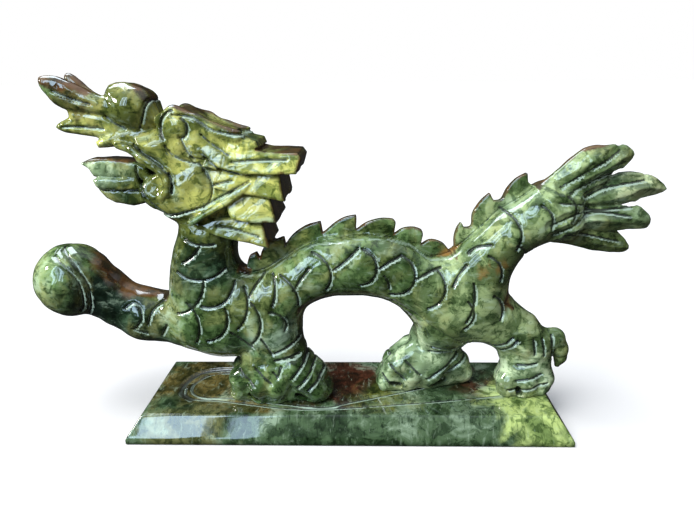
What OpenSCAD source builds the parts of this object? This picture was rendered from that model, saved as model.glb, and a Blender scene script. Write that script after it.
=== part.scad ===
// Carved jade dragon reaching for a pearl, walking along a bevelled plinth of the same stone.
// All sizes are in millimetres. The origin is the centre of the plinth's underside, +X runs
// from the head towards the tail, +Y from the dragon's left side to its right, and +Z up.
// The stone dragon is divided at its carved creases, so that each carved section is a solid.

/* [Plinth] */
// Length of the plinth at its foot
plinth_l = 220; // [205:1:240]
// Width of the plinth at its foot
plinth_w = 70; // [66:1:90]
// Height of the plinth
plinth_h = 13; // [11:1:16]
// Height of the upright edge under the bevel
plinth_edge_h = 3; // [2:0.5:5]
// How far the bevel comes in on every side
plinth_bevel = 7; // [3:0.5:8]
// Width of the lines engraved in the top
engraved_w = 1.2; // [0.8:0.1:2]
// Depth of the lines engraved in the top
engraved_d = 0.6; // [0.3:0.1:1]

/* [Body] */
// Depth of a body section over its height, front view to side view
body_flat = 0.86; // [0.7:0.02:1]
// Radius of the pearl
pearl_r = 19; // [17:0.5:21]
// Thickness of the toothed crests
crest_t = 5; // [3:0.5:7]
// Thickness of the tail fan at its root
fan_t = 15; // [10:1:18]

/* [Head] */
// Width of the mane across the head, at its widest lock
mane_w = 37; // [32:0.5:42]
// How much narrower the top of the mane is
mane_taper = 5; // [2:0.5:8]

/* [Dowels] */
// Diameter of the hidden steel dowels
dowel_d = 3; // [2:0.5:4]
// Length of the hidden steel dowels
dowel_l = 16; // [12:1:18]
// How deep each dowel goes into the plinth
dowel_in_plinth = 8; // [6:1:9]
// Gap for the adhesive round a dowel
dowel_gap = 0.1; // [0.05:0.05:0.2]

/* [Hidden] */

head_green = "darkolivegreen";
body_green = "darkseagreen";
hind_green = "yellowgreen";
plinth_green = "olivedrab";

// Facets round a large ball, a small one, the pearl and a drilled hole
big_fn = 22;
small_fn = 14;
pearl_fn = 64;
hole_fn = 48;
// Side of a block that is larger than the whole object
far = 400;
// Height at which a horizontal cut leaves the torso
leg_cut_z = 46;
middle_leg_cut_z = 42;
neck_cut_z = 84;
throat_z = 106;
// Places [x, z] where slanted cuts pass through the body
loin_cut = [34, 73];
rump_cut = [64, 80];
rear_leg_cut = [84, 49];
fan_cut = [99, 109];
// Radius of a lobe's rounded point
point_r = 1.2;

// Places of the dowels on the plinth
front_dowel = [-38, -6];
middle_dowel = [43, 7];
rear_dowel = [91, -2];

// Balls that the carved shapes are stretched over, each [x, y, z, radius]
spine = [
    [-48, 0, 58, 20],
    [-28, 0, 73.5, 18.5],
    [-8, 0, 82, 15.5],
    [12, 0, 82, 15.5],
    [34, 0, 73, 17.5]
];
chest = [
    [-66, 0, 51, 18.5],
    [-73, 0, 68, 18.5],
    [-72, 0, 90, 16]
];
shoulder = [
    [-46, -2, 56, 18],
    [-42, -5, 44, 16]
];
haunch = [
    [34, 0, 73, 17.5],
    [57, 0, 63, 24],
    [66, 0, 82, 17]
];
haunch_to_middle = [
    [52, 4, 56, 16],
    [47, 6, 42, 13]
];
haunch_to_rear = [
    [68, 0, 58, 15],
    [84, -2, 49, 11.5]
];
throat = [
    [-72, 0, 80, 16],
    [-70, 0, 96, 15.5],
    [-66, 0, 116, 16]
];
tail_spine = [
    [60, 0, 72, 19],
    [71, 0, 91, 15],
    [87, 0, 104, 13],
    [104, 0, 110, 13.5]
];
pearl_centre = [-143.5, 4, 73];
arm = [
    [-82, 4, 54, 16],
    [-100, 5, 52, 14],
    [-110, 5, 54, 14.5],
    [-121, 5, 60, 13],
    [-131, 4, 67.5, 15.5]
];

// Toes and claws: each starts at a knuckle and ends at a tip on the plinth
front_toes = [
    [[-44, -10, 26, 9], [-55.5, -8, 18, 5.5]],
    [[-44, -2, 26, 8], [-55, 2, 17, 5]],
    [[-38, -9, 25, 9], [-38, -13, 18, 5.5]],
    [[-32, -9, 27, 10], [-15, -13, 19, 6]],
    [[-30, -3, 27, 9], [-14, -3, 19, 5]]
];
middle_toes = [
    [[38, 5, 28, 9], [20.5, -1, 18.5, 5.5]],
    [[38, 10, 27, 8], [22, 10, 18, 5]],
    [[43, 5, 26, 9], [40, 4, 18, 5.5]],
    [[48, 7, 27, 9], [61, 9, 19, 5.8]],
    [[48, 12, 26, 8], [58, 16, 18, 5]]
];
rear_toes = [
    [[90, -4, 26, 8.5], [82.5, -6, 18.5, 5.5]],
    [[92, -5, 24, 8], [91, -7, 18, 5]],
    [[95, -3, 26, 8.5], [101, 0, 18.5, 5.5]]
];
rear_spur = [
    [98, -2, 42, 7.5],
    [109, -2, 39, 5],
    [110.5, -2, 28, 1.5]
];

// Leaves of the upper lip and the two prongs of the lower jaw
leaf_left = [
    [-108, -4, 158, 7],
    [-124, -8, 164.5, 6.5],
    [-136.5, -9, 172.5, 2]
];
leaf_right = [
    [-110, 5, 160, 7],
    [-122, 9, 166, 5],
    [-133.5, 12, 174, 1.5]
];
leaf_low = [
    [-108, 4, 152, 6],
    [-124, 8, 153, 4.5],
    [-134, 9, 151.5, 1.5]
];
jaw_upper = [
    [-97, 0, 125, 11],
    [-116, -1, 131, 5],
    [-127.5, -4, 133.5, point_r]
];
jaw_lower = [
    [-98, 0, 122, 9],
    [-114, 0, 122, 6],
    [-124, -4, 126, point_r]
];

// Locks of the mane in side view, from the crown down to the throat
locks = [
    [[-62, 139], [-66, 154], [-51.5, 148.5], [-41, 145], [-40, 139]],
    [[-64, 131], [-60, 143], [-42, 141.5], [-22.5, 140], [-20.5, 137], [-22.5, 130.5]],
    [[-66, 121], [-64, 132], [-31, 131], [-28.5, 118], [-46, 121]],
    [[-68, 110], [-62, 123], [-36, 120], [-32.5, 108], [-54, 109]],
    [[-74, 106], [-66, 112], [-40, 109.5], [-36.5, 95.5], [-62, 100.5]]
];
// Bevelled lower edge that runs along the jaw to the locks
jaw_facet = [
    [-75, 108], [-61, 116.5], [-46, 127], [-43.5, 127], [-45.5, 123], [-56, 115.5], [-72, 106]
];

// Balls of the head
muzzle = [
    [-99, 0, 157, 13],
    [-84, 0, 150, 13]
];
upper_lip = [
    [-109, 0, 148, 6.5],
    [-88, 0, 143, 13.5]
];
cranium = [
    [-80, 0, 144, 14],
    [-58, 0, 138, 13]
];
cheeks = [
    [-82, 0, 132, 15],
    [-64, 0, 124, 16]
];
chin = [
    [-84, 0, 119, 12],
    [-66, 0, 112, 14]
];
// Balls of its left half, mirrored to its right half
eye_ridge = [
    [-80, 9, 152, 7],
    [-62, 11, 145, 8]
];
cheek_ball = [
    [-69, 12, 121, 8],
    [-60, 12, 128, 8]
];
mouth_roll = [
    [-88, 11, 126, 7],
    [-96, 8, 138, 5]
];

// Lobes of the tail fan, each a root, a widest place and a point as [x, z, radius]
lobes = [
    [[98, 112, 9], [119, 130.5, 10], [132.5, 137.5, point_r]],
    [[100, 110, 10], [138, 120, 7.5], [151.5, 120, point_r]],
    [[100, 106, 8], [132, 107, 6.5], [144.5, 104.5, point_r]],
    [[100, 104, 9], [120, 96.5, 6.5], [137, 91, point_r]]
];

// Outlines of the two crests in side view, from the neck to the tail
dorsal_teeth = [
    [-54, 76], [-53.5, 84], [-48, 86.5], [-45, 89], [-41, 90], [-38, 94.5], [-32, 97],
    [-30, 94], [-24, 100.5], [-13.5, 105], [-12, 100], [-5, 105], [4, 108],
    [4.5, 101.5], [10, 104.5], [22.5, 106], [22.5, 99.5], [33, 101.5], [37, 99.5],
    [36.5, 93.5], [44, 95], [49, 92.5], [53, 86], [34, 72], [0, 78], [-30, 70]
];
tail_teeth = [
    [52, 84], [53, 98], [55.5, 104.5], [57.5, 102], [60.5, 103], [61.5, 110], [64, 115],
    [68.5, 119], [71.5, 115.5], [74.5, 116], [77, 122], [81, 126.5], [85.5, 128.5],
    [87.5, 122.5], [94, 122.5], [96, 112], [80, 98], [66, 80]
];

// One ball, pressed flatter across the body than along it
module ball(b, flat = 1, fn = big_fn)
    translate([b.x, b.y, b.z])
        scale([1, flat, 1])
            sphere(b[3], $fn = fn);

// Balls joined one after the other by rounded links
module chain(balls, flat = 1, fn = big_fn)
    for (i = [1 : len(balls) - 1])
        hull() {
            ball(balls[i - 1], flat, fn);
            ball(balls[i], flat, fn);
        }

// Everything beyond a flat cut through a place [x, z], towards an angle above +X
module beyond(place, angle)
    translate([place.x, 0, place.y])
        rotate([0, -angle, 0])
            translate([0, -far / 2, -far / 2])
                cube(far);

// A plate with an outline in the XZ plane, between two depths
module plate(outline, y_low, y_high)
    translate([0, y_high, 0])
        rotate([90, 0, 0])
            linear_extrude(y_high - y_low)
                polygon(outline);

// A short cylinder across the body, used as the end of a lobe
module disc(b, thickness)
    translate([b.x, thickness / 2, b.y])
        rotate([90, 0, 0])
            cylinder(r = b[2], h = thickness, $fn = small_fn);

// The hole that a dowel is set in
module dowel_hole(place)
    translate([place.x, place.y, plinth_h - dowel_in_plinth])
        cylinder(d = dowel_d + 2 * dowel_gap, h = dowel_l, $fn = hole_fn);

module dowel(place)
    translate([place.x, place.y, plinth_h - dowel_in_plinth])
        cylinder(d = dowel_d, h = dowel_l, $fn = hole_fn);

// ---- plinth and dowels ----

// Side view of the plinth across one of its directions, extruded along the other
module plinth_profile(width, depth)
    rotate([90, 0, 0])
        linear_extrude(depth, center = true)
            polygon([
                [-width / 2, 0],
                [width / 2, 0],
                [width / 2, plinth_edge_h],
                [width / 2 - plinth_bevel, plinth_h],
                [-width / 2 + plinth_bevel, plinth_h],
                [-width / 2, plinth_edge_h]
            ]);

// A straight engraved line between two places on the top
module engraved_line(a, b)
    translate([a.x, a.y, plinth_h - engraved_d])
        rotate([0, 0, atan2(b.y - a.y, b.x - a.x)])
            translate([0, -engraved_w / 2, 0])
                cube([norm(b - a), engraved_w, 2 * engraved_d]);

// A round engraved line, open towards +X
module engraved_arc(centre, r)
    translate([centre.x, centre.y, plinth_h - engraved_d])
        difference() {
            cylinder(r = r + engraved_w / 2, h = 2 * engraved_d, $fn = hole_fn);
            translate([0, 0, -engraved_d])
                cylinder(r = r - engraved_w / 2, h = 4 * engraved_d, $fn = hole_fn);
            translate([0, -far / 2, -engraved_d])
                cube([far, far, 4 * engraved_d]);
        }

module plinth()
    color(plinth_green)
        difference() {
            intersection() {
                plinth_profile(plinth_l, far);
                rotate([0, 0, 90])
                    plinth_profile(plinth_w, far);
            }
            engraved_arc([-76, 1.5], 16);
            engraved_line([-76, 17.5], [-40, 17.5]);
            engraved_line([-76, -14.5], [-30, -21.5]);
            engraved_line([-30, -21.5], [18, -19]);
            engraved_line([18, -19], [82, -18]);
            for (place = [front_dowel, middle_dowel, rear_dowel])
                dowel_hole(place);
        }

module dowel_front() color("silver") dowel(front_dowel);
module dowel_middle() color("silver") dowel(middle_dowel);
module dowel_rear() color("silver") dowel(rear_dowel);

// ---- legs and paws ----

// Toes round a leg, cut off flat where they stand on the plinth
module paw(toes, place)
    difference() {
        union() {
            for (toe = toes)
                chain(toe, fn = small_fn);
            children();
        }
        beyond([0, plinth_h], -90);
        dowel_hole(place);
    }

module front_foreleg()
    color(body_green)
        paw(front_toes, front_dowel)
            difference() {
                chain([shoulder[1], [-38, -6, 30, 13]], body_flat);
                beyond([0, leg_cut_z], 90);
            }

module middle_hindleg()
    color(hind_green)
        paw(middle_toes, middle_dowel)
            difference() {
                chain([haunch_to_middle[1], [43, 7, 30, 12]], body_flat);
                beyond([0, middle_leg_cut_z], 90);
            }

module rear_hindleg()
    color(hind_green)
        paw(rear_toes, rear_dowel) {
            difference() {
                chain([haunch_to_rear[1], [95, -2, 37, 11]], body_flat);
                beyond(rear_leg_cut, 145);
            }
            chain([[95, -2, 37, 11], [91, -2, 26, 11]], body_flat);
            chain(rear_spur, body_flat, small_fn);
        }

// ---- body ----

module torso_shape() {
    difference() {
        chain(spine, body_flat);
        beyond(loin_cut, -10);
    }
    difference() {
        chain(chest, body_flat);
        beyond([0, neck_cut_z], 90);
    }
    difference() {
        chain(shoulder, body_flat);
        beyond([0, leg_cut_z], -90);
    }
    hull() {
        ball(spine[0], body_flat);
        ball(chest[0], body_flat);
    }
}

module torso()
    color(body_green)
        torso_shape();

module hindquarters_shape()
    difference() {
        union() {
            difference() {
                chain(haunch, body_flat);
                beyond(rump_cut, 60);
            }
            difference() {
                chain(haunch_to_middle, body_flat);
                beyond([0, middle_leg_cut_z], -90);
            }
            difference() {
                chain(haunch_to_rear, body_flat);
                beyond(rear_leg_cut, -35);
            }
        }
        beyond(loin_cut, 170);
    }

module hindquarters()
    color(hind_green)
        hindquarters_shape();

module neck_shape()
    difference() {
        chain(throat, body_flat);
        beyond([0, neck_cut_z], -90);
        beyond([0, throat_z], 90);
        chain(spine, body_flat);
    }

module neck()
    color(body_green)
        neck_shape();

module tail_shape()
    difference() {
        chain(tail_spine, body_flat);
        beyond(rump_cut, 240);
        beyond(fan_cut, 20);
    }

module tail()
    color(hind_green)
        tail_shape();

module tail_fan()
    color(hind_green)
        difference() {
            for (lobe = lobes)
                hull() {
                    disc(lobe[0], fan_t);
                    disc(lobe[1], fan_t * 0.8);
                    disc(lobe[2], fan_t * 0.4);
                }
            beyond(fan_cut, 200);
            tail_shape();
        }

module dorsal_crest()
    color(body_green)
        difference() {
            plate(dorsal_teeth, -crest_t / 2, crest_t / 2);
            chain(spine, body_flat);
            chain(haunch, body_flat);
        }

module tail_crest()
    color(hind_green)
        difference() {
            plate(tail_teeth, -crest_t / 2, crest_t / 2);
            plate(dorsal_teeth, -crest_t, crest_t);
            chain(tail_spine, body_flat);
            chain(haunch, body_flat);
        }

// ---- pearl and the arm that holds it ----

module pearl()
    color(body_green)
        translate(pearl_centre)
            sphere(pearl_r, $fn = pearl_fn);

module reaching_arm()
    color(body_green)
        difference() {
            chain(arm, body_flat);
            translate(pearl_centre)
                sphere(pearl_r / cos(180 / pearl_fn), $fn = pearl_fn);
            torso_shape();
        }

// ---- head ----

module head_shape() {
    chain(muzzle);
    chain(upper_lip);
    chain(cranium);
    chain(cheeks);
    difference() {
        chain(chin);
        beyond([0, throat_z], -90);
    }
    for (side = [0, 1])
        mirror([0, side, 0]) {
            chain(eye_ridge, fn = small_fn);
            chain(cheek_ball, fn = small_fn);
            chain(mouth_roll, fn = small_fn);
        }
}

module head()
    color(head_green)
        head_shape();

module mane()
    color(head_green)
        difference() {
            union() {
                // each lock is a block across the head, and the crown is narrower
                for (i = [0 : len(locks) - 1]) {
                    half_w = (mane_w - (i == 0 ? mane_taper : 0)) / 2;
                    plate(locks[i], -half_w, half_w);
                }
                plate(jaw_facet, -mane_w / 2, mane_w / 2);
            }
            head_shape();
            neck_shape();
        }

module lower_jaw()
    color(head_green)
        difference() {
            union() {
                chain(jaw_upper, fn = small_fn);
                chain(jaw_lower, fn = small_fn);
            }
            head_shape();
        }

module lip_flourish()
    color(head_green)
        difference() {
            union() {
                // upper leaf of the dragon's left side
                chain(leaf_left, fn = small_fn);
                // upper leaf of its right side
                chain(leaf_right, fn = small_fn);
                // lower leaves, curling down at the tip
                for (side = [-1, 1])
                    mirror([0, side < 0 ? 1 : 0, 0])
                        chain(leaf_low, fn = small_fn);
            }
            head_shape();
            chain(jaw_upper, fn = small_fn);
        }

plinth();
dowel_front();
dowel_middle();
dowel_rear();
front_foreleg();
middle_hindleg();
rear_hindleg();
torso();
hindquarters();
neck();
tail();
tail_fan();
dorsal_crest();
tail_crest();
reaching_arm();
pearl();
head();
mane();
lower_jaw();
lip_flourish();
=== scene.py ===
import math

import bmesh
import bpy
import numpy as np
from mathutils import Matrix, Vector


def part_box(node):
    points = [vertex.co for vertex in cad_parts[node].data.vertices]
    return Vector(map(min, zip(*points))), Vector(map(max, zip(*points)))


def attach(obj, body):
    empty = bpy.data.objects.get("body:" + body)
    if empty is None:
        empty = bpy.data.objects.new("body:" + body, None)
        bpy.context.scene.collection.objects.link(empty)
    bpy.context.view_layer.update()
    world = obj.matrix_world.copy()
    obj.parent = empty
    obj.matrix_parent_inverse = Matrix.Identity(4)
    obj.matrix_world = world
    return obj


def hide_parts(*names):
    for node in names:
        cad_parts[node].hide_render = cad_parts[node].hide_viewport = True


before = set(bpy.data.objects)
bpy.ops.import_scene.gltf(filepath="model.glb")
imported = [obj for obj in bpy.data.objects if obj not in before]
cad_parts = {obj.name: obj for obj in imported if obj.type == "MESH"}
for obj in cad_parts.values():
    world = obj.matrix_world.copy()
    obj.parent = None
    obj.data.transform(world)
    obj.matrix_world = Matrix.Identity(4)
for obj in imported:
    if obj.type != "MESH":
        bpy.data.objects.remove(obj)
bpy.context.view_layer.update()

import openvdb
from mathutils import Matrix, Vector

# The stone is sculpted as a block of clay: a grid of signed distances in millimetres, in the
# frame of the CAD model. Masses are pressed together, lines are ground into them, and each
# section of the carving is cut out of the block and turned into a mesh.
STEP = 0.52                      # distance between two grid points
FAR = 6.0                        # distance stored where there is no stone near
MARGIN = 3.0                     # how far round a mass the grid is filled in
TILT_REACH = 60                  # no tilted plate goes further than this from its pivot
THINNEST = 0.8                   # half the thickness that a tilted plate keeps at least
LINK_BLEND = 1.5                 # between the links of one chain of balls
CREST_BLEND = 0.8                # between the flanks of a crest and its outline
PLINTH_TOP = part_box("plinth")[1][2] * 1000


def curve(points, closed=False, steps=5):
    """A smooth line through given points, as an array of more points."""
    p = np.array(points, float)
    n = len(p)
    out = []
    for i in range(n if closed else n - 1):
        if closed:
            a, b, c, d = (p[(i + k) % n] for k in (-1, 0, 1, 2))
        else:
            a, b, c, d = (p[min(max(i + k, 0), n - 1)] for k in (-1, 0, 1, 2))
        for t in np.arange(steps) / steps:
            out.append(b + 0.5 * t * (c - a) + t * t * (a - 2.5 * b + 2 * c - 0.5 * d)
                       + t ** 3 * (1.5 * (b - c) + 0.5 * (d - a)))
    if not closed:
        out.append(p[-1])
    return np.array(out)


def loop(points, steps=2):
    """A smooth closed outline."""
    return curve(points, closed=True, steps=steps)


def arc(x, z, radius, start, end, points=10):
    """Part of a circle in side view, between two angles in degrees."""
    turn = np.radians(np.linspace(start, end, points))
    return np.stack([x + radius * np.cos(turn), z + radius * np.sin(turn)], axis=1)


def smooth_min(a, b, blend):
    if blend <= 0:
        return np.minimum(a, b)
    h = np.clip(0.5 + 0.5 * (b - a) / blend, 0, 1)
    return b + (a - b) * h - blend * h * (1 - h)


def smooth_max(a, b, blend):
    return -smooth_min(-a, -b, blend)


def bowl(away):
    """The rounded profile of a groove: one in the middle, zero at its width."""
    return np.clip(1 - away ** 2, 0, 1)


def keep_most(layer, part, values):
    """Raises part of a layer to the values where they are greater."""
    layer[part] = np.maximum(layer[part], values)


def line_distance(x, z, line):
    """Distance in side view from a grid of places to a line of points."""
    best = np.full(np.broadcast(x, z).shape, 1e3, np.float32)
    for (ax, az), (bx, bz) in zip(line[:-1], line[1:]):
        dx, dz = bx - ax, bz - az
        t = np.clip(((x - ax) * dx + (z - az) * dz) / max(dx * dx + dz * dz, 1e-9), 0, 1)
        best = np.minimum(best, np.hypot(x - ax - t * dx, z - az - t * dz))
    return best


def outline_distance(x, z, outline):
    """The same for a closed outline, below zero inside it."""
    ring = np.vstack([outline, outline[:1]])
    inside = np.zeros(np.broadcast(x, z).shape, bool)
    for (ax, az), (bx, bz) in zip(ring[:-1], ring[1:]):
        if az != bz:
            inside ^= ((az > z) != (bz > z)) & (x < ax + (z - az) * (bx - ax) / (bz - az))
    distance = line_distance(x, z, ring)
    return np.where(inside, -distance, distance)


# The wheels that grind the lines: width and depth of a line, how much painted shade lies in and
# beside it, and how bright the painted glint along its edge is
WHEELS = {
    "scale": (0.9, 1.0, 1.0, 1.0), "face": (0.85, 1.0, 0.75, 1.0), "paw": (0.85, 1.0, 1.0, 1.0),
    "rib": (0.8, 1.6, 0.9, 1.0), "rib_hollow": (3.2, 1.2, 0, 0), "toe_gap": (1.7, 3.0, 1.0, 0),
    "spine": (0.8, 0.8, 0.3, 0.5), "haunch": (0.8, 0.6, 0.4, 0),
}
RIM_SHIFT = (0.9, -0.7)          # where a line's painted glint lies, from the line itself
RIM_WIDTH = 0.55
SHADE_WIDTH = 5                  # how far the painted shade reaches beside a line
FADE = 0.2                       # where a scale's step fades out, in radians from its ends


class Clay:
    """The block that the whole dragon is sculpted in."""

    def __init__(self, low, high):
        self.start = np.floor(np.array(low) / STEP).astype(int)
        self.shape = tuple(np.ceil((np.array(high) - np.array(low)) / STEP).astype(int))
        self.d = np.full(self.shape, FAR, np.float32)
        # Layers in side view: depth of the cuts, painted shade in the lines, a painted glint along
        # one edge, painted shade beside them, and brown skin
        self.cut, self.wax, self.rim, self.shade, self.skin = (
            np.zeros((self.shape[0], self.shape[2]), np.float32) for _ in range(5))

    def window(self, low, high):
        """The part of the grid inside a box, and the X, Y and Z of its points."""
        a = np.clip(np.floor(np.array(low) / STEP).astype(int) - self.start, 0, self.shape)
        b = np.clip(np.ceil(np.array(high) / STEP).astype(int) - self.start, 0, self.shape)
        part = tuple(slice(i, j) for i, j in zip(a, b))
        x, y, z = (((np.arange(i, j) + s) * STEP).astype(np.float32)
                   for i, j, s in zip(a, b, self.start))
        return part, x[:, None, None], y[None, :, None], z[None, None, :]

    def join(self, part, field, blend):
        self.d[part] = smooth_min(self.d[part], field, blend)

    def egg(self, centre, radii, grow):
        """The grid round an egg shape, and the distances from its surface."""
        middle, reach = np.array(centre, float), np.array(radii, float) + grow
        part, *places = self.window(middle - reach, middle + reach)
        away = np.sqrt(sum(((p - c) / r) ** 2 for p, c, r in zip(places, centre, radii)))
        return part, (away - 1) * min(radii)

    def ball(self, x, y, z, *radii, blend=2.0):
        part, field = self.egg((x, y, z), radii, MARGIN + blend)
        self.join(part, field, blend)

    def dig(self, x, y, z, *radii, blend=1.0):
        """An egg-shaped hollow ground away on both flanks."""
        for side in (-1, 1):
            part, field = self.egg((x, side * y, z), radii, blend)
            self.d[part] = smooth_max(self.d[part], -field, blend)

    def chain(self, balls, flat=1.0, blend=3.0):
        """Balls [x, y, z, radius] joined one after the other, pressed to a share of their depth."""
        p = np.array(balls, float)
        reach = p[:, 3:] + MARGIN + blend
        part, x, y, z = self.window((p[:, :3] - reach).min(0), (p[:, :3] + reach).max(0))
        field = None
        for a, b in zip(p[:-1], p[1:]):
            v = (b - a)[:3]
            t = ((x - a[0]) * v[0] + (y - a[1]) * v[1] + (z - a[2]) * v[2]) / max(v @ v, 1e-9)
            t = np.clip(t, 0, 1)
            away = np.sqrt((x - a[0] - t * v[0]) ** 2 + ((y - a[1] - t * v[1]) / flat) ** 2
                           + (z - a[2] - t * v[2]) ** 2)
            link = away - (a[3] + t * (b[3] - a[3]))
            field = link if field is None else smooth_min(field, link, LINK_BLEND)
        self.join(part, field, blend)

    def plate(self, outline, y0, half, edge, blend=2.0, lean=0.0, tilt=(0, 0), pivot=(0, 0)):
        """A slab with an outline in side view and rounded edges.

        It reaches half to each side of y0 at the pivot, and tilt changes that for each
        millimetre along X and Z. lean moves its middle in Y for each millimetre along X.
        """
        outline = np.asarray(outline, float)
        grow = MARGIN + blend
        low, high = outline.min(0) - grow, outline.max(0) + grow
        reach = half + grow + max(abs(tilt[0]), abs(tilt[1]), abs(lean)) * TILT_REACH
        part, x, y, z = self.window([low[0], y0 - reach, low[1]], [high[0], y0 + reach, high[1]])
        side = outline_distance(x[:, 0], z[0], outline)[:, None, :]
        thick = np.maximum(half + tilt[0] * (x - pivot[0]) + tilt[1] * (z - pivot[1]), THINNEST)
        round_edge = np.minimum(edge, thick)
        across = np.abs(y - y0 - lean * (x - pivot[0])) - thick
        corner = np.hypot(np.maximum(side + round_edge, 0), np.maximum(across + round_edge, 0))
        field = corner + np.minimum(np.maximum(side, across) + round_edge, 0) - round_edge
        self.join(part, field, blend)

    def ridge(self, outline, y0, top, foot, slope, blend=1.0):
        """A crest: thin at its outline and thicker towards its foot."""
        outline = np.asarray(outline, float)
        low = [outline[:, 0].min() - MARGIN, y0 - foot - MARGIN, outline[:, 1].min() - MARGIN]
        high = [outline[:, 0].max() + MARGIN, y0 + foot + MARGIN, outline[:, 1].max() + MARGIN]
        part, x, y, z = self.window(low, high)
        side = outline_distance(x[:, 0], z[0], outline)[:, None, :]
        thick = np.clip(top - slope * side, 0, foot)
        across = (np.abs(y - y0) - thick) / math.hypot(1, slope)
        self.join(part, smooth_max(side, across, CREST_BLEND), blend)

    def near_line(self, line, width):
        """The part of the side view round a line, and each place's distance over the width."""
        line = np.asarray(line, float)
        low, high = line.min(0) - 2 * width, line.max(0) + 2 * width
        part, x, _, z = self.window([low[0], 0, low[1]], [high[0], 0, high[1]])
        return (part[0], part[2]), line_distance(x[:, 0], z[0], line) / width

    def carve(self, line, wheel):
        """A line ground into both flanks, by a wheel with a rounded rim, with painted shade in and
        beside it and a painted glint along one edge.
        """
        width, depth, wax, glint = WHEELS[wheel]
        part, away = self.near_line(line, width)
        keep_most(self.cut, part, depth * bowl(away))
        # painted shade, nearly black, in the line itself
        keep_most(self.wax, part, wax * bowl(away))
        # a painted glint, pale, beside one edge of the line
        part, away = self.near_line(np.asarray(line) + RIM_SHIFT, RIM_WIDTH)
        keep_most(self.rim, part, glint * bowl(away))
        # painted shade beside the line
        part, away = self.near_line(line, SHADE_WIDTH)
        keep_most(self.shade, part, wax * np.clip(1 - away, 0, 1))

    def raise_bead(self, line, width, height):
        """A line left standing a little proud on both flanks."""
        part, away = self.near_line(line, width)
        self.cut[part] -= height * bowl(away)

    def shingle(self, x0, z0, radius, start, end, fall=3.5, depth=0.4):
        """A scale stands a little over what follows its rounded edge."""
        reach = radius + fall
        part, x, _, z = self.window([x0 - reach, 0, z0 - reach], [x0 + reach, 0, z0 + reach])
        x, z = x[:, 0] - x0, z[0] - z0
        past = (np.hypot(x, z) - radius) / fall
        middle, half = math.radians((start + end) / 2), math.radians(abs(end - start) / 2)
        turn = np.abs((np.arctan2(z, x) - middle + math.pi) % (2 * math.pi) - math.pi)
        step = np.where((past > 0) & (past < 1), depth * (1 - past), 0)
        step = step * np.clip((half - turn) / FADE, 0, 1)
        keep_most(self.cut, (part[0], part[2]), step)

    def stain(self, line, width, share=1.0):
        """Brown skin of the rough stone left along a line."""
        part, away = self.near_line(line, width)
        keep_most(self.skin, part, share * np.clip(1.3 - away, 0, 1))


# ---- masses ----

# The body in side view: neck, chest, belly, haunch, tail and back, clockwise from the throat
BODY = [
    (-79, 112), (-84, 100), (-88, 89), (-90.5, 78), (-91.5, 66), (-92, 54), (-91, 46),
    (-86, 40.5), (-78, 36.5), (-69, 33.5), (-58, 34), (-50, 35), (-42, 33), (-33, 33), (-24, 36),
    (-24.5, 46), (-25, 54), (-21.5, 60), (-16, 64), (-8, 66.5), (3, 67), (14, 66), (23, 62.5),
    (30, 56), (35, 48), (38, 41), (46, 37), (56, 37), (61, 42), (67, 42), (73, 40.5), (80, 37),
    (92, 34), (97, 41), (93, 46), (86.5, 48.5), (83, 53), (81, 59), (80, 66), (80.5, 74),
    (83, 82.5), (87.5, 88.5), (93, 92.5), (100, 95), (112, 97), (114, 118), (100, 125),
    (89, 122), (80, 116), (72, 110.5), (65, 104), (58, 97), (51, 90), (44, 88), (36, 91),
    (29, 95), (18, 98.5), (6, 99), (-7, 98), (-16, 96.5), (-24, 93), (-33, 86.5), (-41, 81.5),
    (-48, 79.5), (-54, 81.5), (-56, 88), (-55, 97), (-54, 112),
]
BODY_HALF = 15.5
BODY_EDGE = 14.5

# Ball-shaped swellings on the flanks and the joints of the legs
FLANKS = [
    (-62, 0, 58, 26, 17.5, 22), (-42, 0, 56, 16, 16.5, 18), (57, 0, 64, 22, 18, 21),
]

# Teeth of the two crests, each from its notch over its back to its point
DORSAL_TEETH = [
    [(-51, 84), (-49.5, 87.5), (-46, 89.3)], [(-44.5, 86), (-42.5, 91), (-38, 94.8), (-32, 97)],
    [(-31.3, 92.5), (-27.5, 98), (-21, 102.5), (-13.5, 105)],
    [(-12.5, 99), (-6, 104.5), (-1, 107), (4, 108)],
    [(4.2, 101), (10, 104.5), (17, 106.4), (22, 106), (23.5, 104)],
    [(22.8, 98.6), (27, 101), (32, 101.8), (36, 100.5), (37, 98)],
    [(36.3, 93.2), (40, 95.3), (44, 95.2), (48, 92.8), (51, 89)],
]
DORSAL_FOOT = [(52, 85), (34, 84), (0, 90), (-30, 80), (-52, 78)]
TAIL_TEETH = [
    [(52.5, 88), (52.3, 95), (53.2, 101), (55.3, 104.6)],
    [(57, 101.5), (60.3, 102.3), (60.6, 108), (63.5, 114), (68.5, 118.9)],
    [(70.5, 115), (74.2, 115.6), (77, 121.5), (81, 126), (85.7, 128.5)],
]
TAIL_FOOT = [(86.3, 124), (90, 121), (84, 110), (66, 90), (56, 86)]

# Lobes of the tail fan, each an outline and the place of its middle in Y
FAN_LOBES = [
    ([(88, 118), (97, 127.5), (108, 138), (113, 140.7), (121, 141.3), (128, 141.5), (131.5, 140),
      (134, 137), (131.5, 132.5), (127, 128), (112, 116), (98, 110)], -1.5),
    ([(98, 118), (118, 124.5), (130, 128), (141, 127.8), (148, 125), (153, 120), (148, 117),
      (141, 115.5), (136, 112), (118, 108), (100, 108)], 1.5),
    ([(100, 112), (120, 113.5), (137, 113.5), (143, 110), (146, 106), (145, 102), (142, 101),
      (135, 101), (129, 100), (112, 100), (100, 102)], -1.5),
    ([(96, 106), (112, 107), (128, 102), (134, 97.5), (139, 92), (138, 89.3), (134, 88.2),
      (126, 88.8), (116, 90.5), (106, 93), (96, 95)], 1.5),
]


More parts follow.
